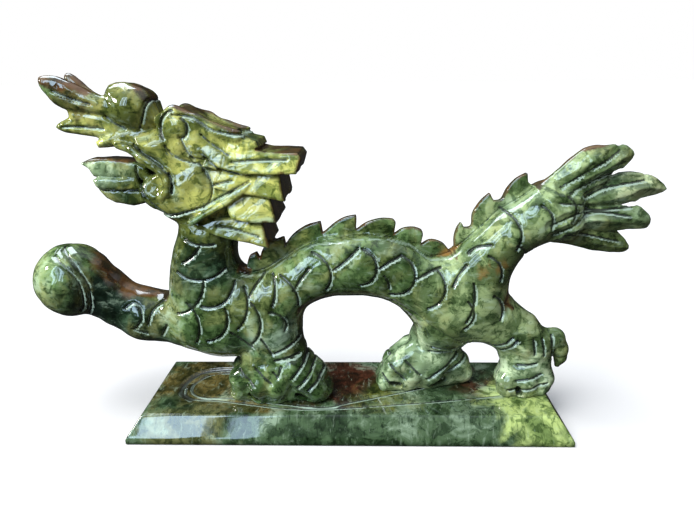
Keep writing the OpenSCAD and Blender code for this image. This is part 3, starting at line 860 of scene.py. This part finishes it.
def make_plinth():
    low, high = (np.array(corner) * 1000 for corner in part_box("plinth"))
    nx, ny = (int(round((high[i] - low[i]) / PLINTH_STEP)) + 1 for i in (0, 1))
    x, y = np.meshgrid(np.linspace(low[0], high[0], nx), np.linspace(low[1], high[1], ny),
                       indexing="ij")
    z, groove, glint = plinth_surface(x, y, high)
    points = [np.stack([x, y, z], axis=-1).reshape(-1, 3)]
    index = np.arange(nx * ny).reshape(nx, ny)
    corners = (index[:-1, :-1], index[1:, :-1], index[1:, 1:], index[:-1, 1:])
    faces = [np.stack(corners, axis=-1).reshape(-1, 4)]
    # The upright edge and the flat underside hang below the grid's rim
    rim = np.concatenate([index[:, 0], index[-1, 1:], index[-2::-1, -1], index[0, -2:0:-1]])
    ring, n, total = rim, len(rim), nx * ny
    for height, inset in ((CHAMFER, 0), (0, CHAMFER)):
        edge = points[0][rim]
        for i in (0, 1):
            edge[:, i] -= np.sign(edge[:, i]) * inset * (np.abs(edge[:, i]) > high[i] - 1e-6)
        edge[:, 2] = height
        below = total + np.arange(n)
        points.append(edge)
        faces.append(np.stack([ring, below, np.roll(below, -1), np.roll(ring, -1)], axis=1))
        ring, total = below, total + n
    points.append(np.zeros((1, 3)))
    piece = new_piece("jade_plinth", np.concatenate(points) * 0.001, np.concatenate(faces))
    close_base(piece, ring, total)
    # the depth of the engraved lines gives their painted shade, the glint their painted highlight
    for name, values in (("wax", groove), ("rim", glint)):
        mark(piece, name, np.pad(values.ravel(), (0, total + 1 - nx * ny)))
    return piece


def close_base(piece, ring, centre):
    """Fills the underside with triangles round its middle."""
    mesh = bmesh.new()
    mesh.from_mesh(piece.data)
    mesh.verts.ensure_lookup_table()
    for a, b in zip(ring, np.roll(ring, -1)):
        mesh.faces.new([mesh.verts[int(i)] for i in (centre, b, a)])
    bmesh.ops.recalc_face_normals(mesh, faces=mesh.faces)
    mesh.to_mesh(piece.data)
    mesh.free()


# ---- materials ----


class Stone:
    """A material whose nodes are added one by one."""

    def __init__(self, name):
        self.material = bpy.data.materials.new(name)
        self.material.use_nodes = True
        self.tree = self.material.node_tree
        self.shader = self.tree.nodes["Principled BSDF"]
        self.place = self.add("ShaderNodeTexCoord").outputs["Object"]
        self.ragged = None

    def add(self, kind, inputs=None, **settings):
        node = self.tree.nodes.new(kind)
        for key, value in settings.items():
            setattr(node, key, value)
        for key, value in (inputs or {}).items():
            self.feed(node.inputs[key], value)
        return node

    def feed(self, socket, value):
        if isinstance(value, bpy.types.NodeSocket):
            self.tree.links.new(value, socket)
        else:
            socket.default_value = value

    def noise(self, size, detail=4.0, rough=0.55, warp=0.0, at=None):
        """Cloudy values round 0.5 whose patches are about so many millimetres across."""
        return self.add("ShaderNodeTexNoise", {
            "Vector": self.place if at is None else at, "Scale": 1000 / size, "Detail": detail,
            "Roughness": rough, "Distortion": warp}).outputs["Fac"]

    def band(self, value, low, high, start=0.0, end=1.0):
        """Maps a value to a share, smoothly."""
        return self.add("ShaderNodeMapRange", {
            "Value": value, "From Min": low, "From Max": high, "To Min": start,
            "To Max": end}, interpolation_type="SMOOTHSTEP").outputs["Result"]

    def math(self, operation, a, b=0.0):
        return self.add("ShaderNodeMath", {0: a, 1: b}, operation=operation).outputs["Value"]

    def attribute(self, name):
        return self.add("ShaderNodeAttribute", attribute_name=name).outputs["Fac"]

    def mix(self, share, a, b, blend="MIX"):
        """Mixes two colours."""
        node = self.add("ShaderNodeMix", data_type="RGBA", blend_type=blend)
        self.feed(node.inputs["Factor"], share)
        for socket, colour in ((node.inputs[6], a), (node.inputs[7], b)):
            self.feed(socket, colour if isinstance(colour, bpy.types.NodeSocket)
                      else (*colour, 1.0))
        return node.outputs[2]

    def tear(self, size, warp):
        """Sets how the edges of spots wander."""
        self.ragged = self.math("SUBTRACT", self.noise(size, 5, 0.6, warp), 0.5)

    def spot(self, centre, radius, soft, ragged):
        """A share that is one inside a ragged ball and zero outside it, in millimetres."""
        away = self.add("ShaderNodeVectorMath", {
            0: self.place, 1: tuple(c * 0.001 for c in centre)}, operation="DISTANCE")
        edge = self.math("MULTIPLY", self.ragged, ragged * 0.001)
        reach = self.math("ADD", away.outputs["Value"], edge)
        return self.band(reach, (radius + soft) * 0.001, (radius - soft) * 0.001)


# Patches of another colour in the dragon, and a few of painted light and shade: centre, radius and
# colour, in order
PATCHES = [
    # The nearly black patch here is painted shade where the hand meets the pearl, on the pearl's
    # shaded right side
    ((-70, 0, 86), 28, "dark"), ((-112, 6, 52), 28, "dark"), ((-129, -6, 66), 17, "shade_black"),
    ((-98, 0, 140), 46, "olive"), ((-62, 0, 158), 26, "olive"), ((-45, 0, 118), 26, "yellow"),
    # The pale patch at the pearl's far left is painted light on its lit side
    ((-28, 0, 136), 24, "yellow"), ((-40, 0, 42), 26, "dark"), ((-160, -6, 77), 15, "pale"),
    ((62, -6, 60), 34, "pale"), ((93, -4, 32), 28, "pale"), ((76, 0, 92), 26, "pale"),
    ((42, -4, 24), 22, "light"), ((92, -6, 20), 20, "light"), ((-36, -12, 22), 20, "mid"),
    ((122, 0, 122), 32, "pale"), ((134, -3, 122), 16, "light"), ((-122, 0, 131), 12, "light"),
    ((-122, -4, 152), 8, "yellow"), ((-128, -5, 168), 9, "brown"), ((-110, 0, 116), 9, "dark"),
    # The two nearly black patches here are painted shade: one under the mane, on the neck's own
    # darker stone, one in the corner of the arch under the belly
    ((-66, 0, 152), 20, "yellow"), ((-52, 0, 102), 11, "shade_black"), ((-22, 0, 60), 12, "shade_black"),
    ((-70, -10, 60), 14, "mid"),
]
# Rust where a crack lets water in: centre and radius
RUSTS = [((66, -15, 83), 3), ((72, -15, 85), 3), ((80, -11, 68), 3), ((50, 0, 88), 4)]
RUST_SHARE = 0.75
GREENS = {
    "mid": (0.125, 0.19, 0.065), "dark": (0.045, 0.08, 0.040), "olive": (0.19, 0.19, 0.045),
    "yellow": (0.50, 0.48, 0.12), "pale": (0.27, 0.33, 0.14), "light": (0.50, 0.58, 0.34),
    # the nearly black green is painted shade
    "shade_black": (0.010, 0.020, 0.012), "brown": (0.11, 0.085, 0.03),
}
# The plinth's green and its patches: centre, radius and colour
PLINTH_GREEN = (0.055, 0.09, 0.04)
PLINTH_PATCHES = [
    ((-70, 6, 14), 36, (0.10, 0.075, 0.020)), ((-4, 8, 14), 24, (0.075, 0.022, 0.010)),
    ((45, 18, 14), 20, (0.09, 0.024, 0.010)), ((20, -10, 14), 14, (0.10, 0.105, 0.02)),
    ((68, 2, 14), 13, (0.06, 0.025, 0.012)), ((-80, -34, 6), 22, (0.11, 0.11, 0.04)),
    ((96, -18, 8), 27, (0.42, 0.50, 0.16)),
]
SOFT = 8                         # half the width of a patch's soft edge
DRAGON_RAGGED, PLINTH_RAGGED, RUST_RAGGED = 60, 70, 30   # how far the edges wander
# Multiplied in for the stone's dark clouds, and for the painted shade beside the lines
DARK_CLOUD_AND_SHADE = (0.30, 0.37, 0.30)
CLOUD = (0.42, 0.52, 0.36)
# A painted glint along one edge of each line
PAINTED_GLINT = (0.33, 0.41, 0.32)
RUST = (0.30, 0.13, 0.03)
TAN = (0.27, 0.235, 0.075)
SKIN = (0.10, 0.043, 0.015)
DARK_SKIN = (0.022, 0.010, 0.006)
# Painted shade in the lines
GROOVE_SHADE = (0.006, 0.008, 0.004)
STEEL = (0.6, 0.6, 0.62)
DRAGON_GRAIN = (0.4, 1.0, 1.3)   # the streaks' density along X, Y and Z
PLINTH_GRAIN = (2.0, 0.6, 0.5)
DARKEST = 0.9                    # share of the darkening where a cloud, or the painted shade beside a line, is darkest


def marble(stone, colour, size, cloud, grain):
    """Dark and light clouds, fine flecks and streaks along the block."""
    along = stone.add("ShaderNodeVectorMath", {0: stone.place, 1: grain},
                      operation="MULTIPLY").outputs["Vector"]
    # Each layer's pattern, where its dark and its light begin and end, and the light's share
    layers = (
        (stone.noise(size * 1.3, 6, 0.58, 1.0), (0.55, 0.44), (0.56, 0.70), cloud),
        (stone.noise(size * 0.3, 5, 0.68, 0.6), (0.50, 0.40), (0.56, 0.72), cloud * 0.5),
        (stone.noise(4.5, 5, 0.65, 0.5, along), (0.47, 0.33), (0.57, 0.70), cloud * 0.5),
    )
    for pattern, dark, light, share in layers:
        colour = stone.mix(stone.band(pattern, *dark, 0, DARKEST), colour, DARK_CLOUD_AND_SHADE, "MULTIPLY")
        colour = stone.mix(stone.band(pattern, *light, 0, share), colour, CLOUD)
    return colour


def paint_lines(stone, colour):
    """Painted shade beside the lines and in them, and a painted glint along one edge of each."""
    # Painted shade beside the lines, broken up by noise
    shade = stone.math("MULTIPLY", stone.attribute("shade"),
                       stone.band(stone.noise(14, 3), 0.4, 0.6))
    colour = stone.mix(stone.band(shade, 0, 0.8, 0, DARKEST), colour, DARK_CLOUD_AND_SHADE, "MULTIPLY")
    # A painted glint, pale, along one edge of each line, broken up by noise
    glint = stone.math("MULTIPLY", stone.attribute("rim"),
                       stone.band(stone.noise(7, 3), 0.32, 0.5))
    colour = stone.mix(stone.band(glint, 0.15, 0.7, 0, 0.75), colour, PAINTED_GLINT)
    # Painted shade, nearly black, in the lines themselves
    return stone.mix(stone.band(stone.attribute("wax"), 0.35, 0.8, 0, 0.9), colour, GROOVE_SHADE)


def finish_stone(stone, colour, bump):
    """A wet-looking polish, duller in the lines."""
    stone.feed(stone.shader.inputs["Base Color"], paint_lines(stone, colour))
    rough = stone.band(stone.noise(11, 4), 0.35, 0.75, 0.035, 0.13)
    dull = stone.band(stone.attribute("wax"), 0.2, 0.9, 0, 0.25)
    stone.feed(stone.shader.inputs["Roughness"], stone.math("ADD", rough, dull))
    for name, value in (("IOR", 1.62), ("Coat Weight", 0.5), ("Coat Roughness", 0.03)):
        stone.shader.inputs[name].default_value = value
    worn = stone.add("ShaderNodeBump", {
        "Strength": bump, "Distance": 0.0005, "Height": stone.noise(5, 4, 0.55)})
    stone.feed(stone.shader.inputs["Normal"], worn.outputs["Normal"])
    return stone.material


def brown_skin(stone, colour):
    """Brown skin of the rough stone, where the carver left it."""
    patchy = stone.math("ADD", stone.attribute("skin"), stone.math("MULTIPLY", stone.ragged, 1.1))
    brown = stone.mix(stone.band(stone.noise(9, 4, 0.6), 0.42, 0.60), SKIN, DARK_SKIN)
    return stone.mix(stone.band(patchy, 0.22, 0.9, 0, 0.9), colour, brown)


def dragon_jade():
    """Mottled jade whose green changes along the body, with brown skin on its edges."""
    stone = Stone("dragon_jade")
    stone.tear(24, 1.0)
    colour = GREENS["mid"]
    for centre, radius, name in PATCHES:
        colour = stone.mix(stone.spot(centre, radius, SOFT, DRAGON_RAGGED), colour, GREENS[name])
    tint = stone.band(stone.noise(26, 4, 0.55, 0.8), 0.47, 0.62, 0, 0.42)
    colour = marble(stone, stone.mix(tint, colour, TAN), 15, 0.45, DRAGON_GRAIN)
    for centre, radius in RUSTS:
        share = stone.math("MULTIPLY", stone.spot(centre, radius, 3, RUST_RAGGED), RUST_SHARE)
        colour = stone.mix(share, colour, RUST)
    return finish_stone(stone, brown_skin(stone, colour), 0.12)


def plinth_jade():
    """The same stone cut across: olive brown at the head, rust in the middle, pale at the tail."""
    stone = Stone("plinth_jade")
    stone.tear(30, 1.2)
    colour = PLINTH_GREEN
    for centre, radius, patch in PLINTH_PATCHES:
        colour = stone.mix(stone.spot(centre, radius, SOFT, PLINTH_RAGGED), colour, patch)
    return finish_stone(stone, marble(stone, colour, 17, 0.4, PLINTH_GRAIN), 0.06)


def turned_steel():
    steel = Stone("turned_steel")
    rough = steel.band(steel.noise(1.2, 2), 0.3, 0.7, 0.25, 0.4)
    steel.feed(steel.shader.inputs["Roughness"], rough)
    steel.shader.inputs["Base Color"].default_value = (*STEEL, 1)
    steel.shader.inputs["Metallic"].default_value = 1.0
    return steel.material


# ---- the part ----


def place_piece(piece, node, slot, material):
    piece.data.materials.append(material)
    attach(piece, "root")
    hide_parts(node)


def build_part():
    jade = dragon_jade()
    clay = sculpt_dragon()
    for name, field, start in section_fields(clay):
        node, slot, _ = SECTIONS[name]
        place_piece(to_mesh(name, field, start, clay), node, slot, jade)
    place_piece(make_plinth(), "plinth", "plinth_jade", plinth_jade())
    steel = turned_steel()
    for name in ("dowel_front", "dowel_middle", "dowel_rear"):
        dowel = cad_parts[name]
        dowel.data.materials.clear()
        dowel.data.materials.append(steel)


# ---- floor, lights and camera ----


def plain_material(name, colour, rough):
    material = bpy.data.materials.new(name)
    material.use_nodes = True
    shader = material.node_tree.nodes["Principled BSDF"]
    shader.inputs["Base Color"].default_value = (*colour, 1)
    shader.inputs["Roughness"].default_value = rough
    return material


PAPER = (0.93, 0.93, 0.93)
FLOOR_SIZE = 60


def build_floor():
    """A pale sheet. The stone neither mirrors it nor is lit by it, as on a dark table."""
    bpy.ops.mesh.primitive_plane_add(size=FLOOR_SIZE, location=(0, 0, 0))
    floor = bpy.context.active_object
    floor.name = "floor"
    floor.data.materials.append(plain_material("paper", PAPER, 0.6))
    floor.visible_glossy = False
    floor.visible_diffuse = False
    return floor


MIDDLE = (0, 0, 0.07)


def softbox(name, place, size, power, colour, shine=True):
    """A lamp with a face of that size, turned to the middle of the part."""
    lamp = bpy.data.lights.new(name, "AREA")
    lamp.shape = "RECTANGLE"
    lamp.size, lamp.size_y = size
    lamp.energy = power
    lamp.color = colour
    holder = new_object(name, lamp)
    holder.location = place
    aim = Vector(MIDDLE) - Vector(place)
    holder.rotation_euler = aim.to_track_quat("-Z", "Y").to_euler()
    holder.visible_glossy = shine
    return holder


def floor_light(floor):
    """Even light for the paper alone, so that it stays white to the horizon."""
    lamp = bpy.data.lights.new("floor_light", "SUN")
    lamp.angle = math.radians(PAPER_SUN_SPREAD)
    lamp.energy = PAPER_SUN
    holder = new_object("floor_light", lamp)
    holder.rotation_euler = [math.radians(angle) for angle in PAPER_SUN_TURN]
    holder.light_linking.receiver_collection = linked("lit_paper", floor, "INCLUDE")


def linked(name, floor, state):
    """A collection that lets a lamp light the paper alone, or all but the paper."""
    group = bpy.data.collections.new(name)
    group.objects.link(floor)
    group.collection_objects[0].light_linking.link_state = state
    return group


# The room's brightness at the horizon and overhead, each with its place on the ramp
ROOM = [(0.5, (0.025, 0.025, 0.024)), (1.0, (0.65, 0.72, 0.82))]


def build_world():
    """A dim room in the reflections, brighter above, and white paper behind the part."""
    world = bpy.data.worlds.new("studio")
    bpy.context.scene.world = world
    world.use_nodes = True
    tree = world.node_tree
    room = tree.nodes["Background"]
    ramp = tree.nodes.new("ShaderNodeValToRGB")
    for stop, (position, colour) in zip(ramp.color_ramp.elements, ROOM):
        stop.position = position
        stop.color = (*colour, 1)
    direction = tree.nodes.new("ShaderNodeTexCoord")
    split = tree.nodes.new("ShaderNodeSeparateXYZ")
    tree.links.new(direction.outputs["Generated"], split.inputs["Vector"])
    tree.links.new(split.outputs["Z"], ramp.inputs["Fac"])
    tree.links.new(ramp.outputs["Color"], room.inputs["Color"])
    paper = tree.nodes.new("ShaderNodeBackground")
    paper.inputs["Color"].default_value = (1, 1, 1, 1)
    path = tree.nodes.new("ShaderNodeLightPath")
    choose = tree.nodes.new("ShaderNodeMixShader")
    tree.links.new(path.outputs["Is Camera Ray"], choose.inputs["Fac"])
    tree.links.new(room.outputs["Background"], choose.inputs[1])
    tree.links.new(paper.outputs["Background"], choose.inputs[2])
    tree.links.new(choose.outputs["Shader"], tree.nodes["World Output"].inputs["Surface"])


PAPER_SUN = 3.85
PAPER_SUN_SPREAD = 50            # degrees, as is its turn
PAPER_SUN_TURN = (10, -25, 0)
SKY_BLUE = (0.58, 0.80, 1.0)
PANE_HEIGHT = 0.8
# The window's panes: place, width and power
PANES = [
    ((-0.72, -0.70, 0.66), 0.12, 2.2), ((-0.58, -0.80, 0.64), 0.10, 1.1),
    ((-0.42, -0.88, 0.67), 0.14, 2.6), ((-0.27, -0.94, 0.66), 0.07, 0.9),
]
# The other lamps: name, place, size, power, colour and whether the stone mirrors them
LAMPS = [
    ("high_window", (-0.45, 0.35, 0.95), (0.6, 0.5), 7.0, (0.80, 0.91, 1.0), True),
    ("key", (-0.6, -0.6, 0.75), (0.4, 0.4), 20.0, (0.92, 0.99, 1.06), False),
    ("bulb", (-0.9, -0.2, 0.5), (0.12, 0.12), 3.5, (1.0, 0.97, 0.92), True),
    ("fill", (0.9, -0.9, 0.6), (0.9, 0.9), 2.5, (1.0, 0.96, 0.9), False),
]


def build_lights(floor):
    lamps = [softbox(f"pane_{i}", place, (width, PANE_HEIGHT), power, SKY_BLUE)
             for i, (place, width, power) in enumerate(PANES)]
    lamps += [softbox(*lamp) for lamp in LAMPS]
    stone = linked("all_but_paper", floor, "EXCLUDE")
    for lamp in lamps:
        lamp.light_linking.receiver_collection = stone
    floor_light(floor)
    build_world()


CAMERA_PLACE = (0.006, -0.273, 0.171)
CAMERA_PITCH = 17.6              # degrees downwards
CAMERA_TURN = -1.4               # degrees towards the tail, below zero towards the head
CAMERA_ROLL = -0.5
LENS = 29.5                      # millimetres


def build_camera():
    pitch, turn, roll = (math.radians(a) for a in (CAMERA_PITCH, CAMERA_TURN, CAMERA_ROLL))
    ahead = Vector((math.sin(turn) * math.cos(pitch), math.cos(turn) * math.cos(pitch),
                    -math.sin(pitch)))
    right = Vector((math.cos(turn), -math.sin(turn), 0))
    up = right.cross(ahead)
    right, up = (right * math.cos(roll) + up * math.sin(roll),
                 up * math.cos(roll) - right * math.sin(roll))
    lens = bpy.data.cameras.new("camera")
    lens.sensor_width = 36
    lens.lens = LENS
    lens.clip_start = 0.01
    camera = new_object("camera", lens)
    camera.matrix_world = Matrix.Translation(CAMERA_PLACE) @ Matrix(
        (right, up, -ahead)).transposed().to_4x4()
    bpy.context.scene.camera = camera


build_part()
build_lights(build_floor())
build_camera()
bpy.context.scene.view_settings.view_transform = "Standard"
bpy.context.view_layer.update()
